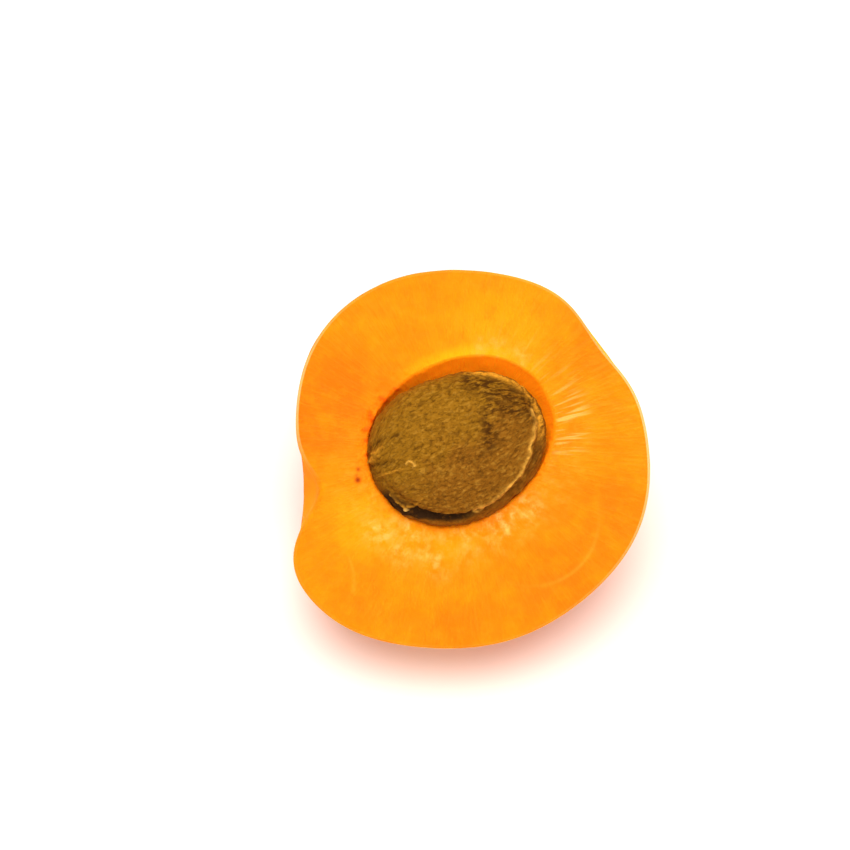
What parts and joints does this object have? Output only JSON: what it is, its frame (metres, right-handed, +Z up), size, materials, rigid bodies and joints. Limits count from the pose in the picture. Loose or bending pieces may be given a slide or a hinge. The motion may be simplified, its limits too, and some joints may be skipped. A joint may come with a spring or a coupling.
{
  "type": "apricot half",
  "caption": "Half of a ripe apricot lying on its round cheek, with the cut face up and the stone still in its bed.",
  "frame": {"origin": "middle of the small flat spot that the half lies on", "axes": "+Z up. The cut face looks up and leans 25 degrees towards -Y. The fruit's axis lies in the cut face, 25 degrees from +X, with the stem hollow at the -X end and the tip at the +X end."},
  "size_m": [0.0471, 0.0481, 0.033],
  "materials": {
    "flesh": "moist orange flesh on the cut face and in the bed, with velvety yellow-orange skin blushed red outside",
    "stone_shell": "rough brown woody shell with fine pits, a pale seam ridge and a dark furrow"
  },
  "bodies": {
    "root": {"fruit_half": "flesh", "stone": "stone_shell"}
  },
  "joints": []
}
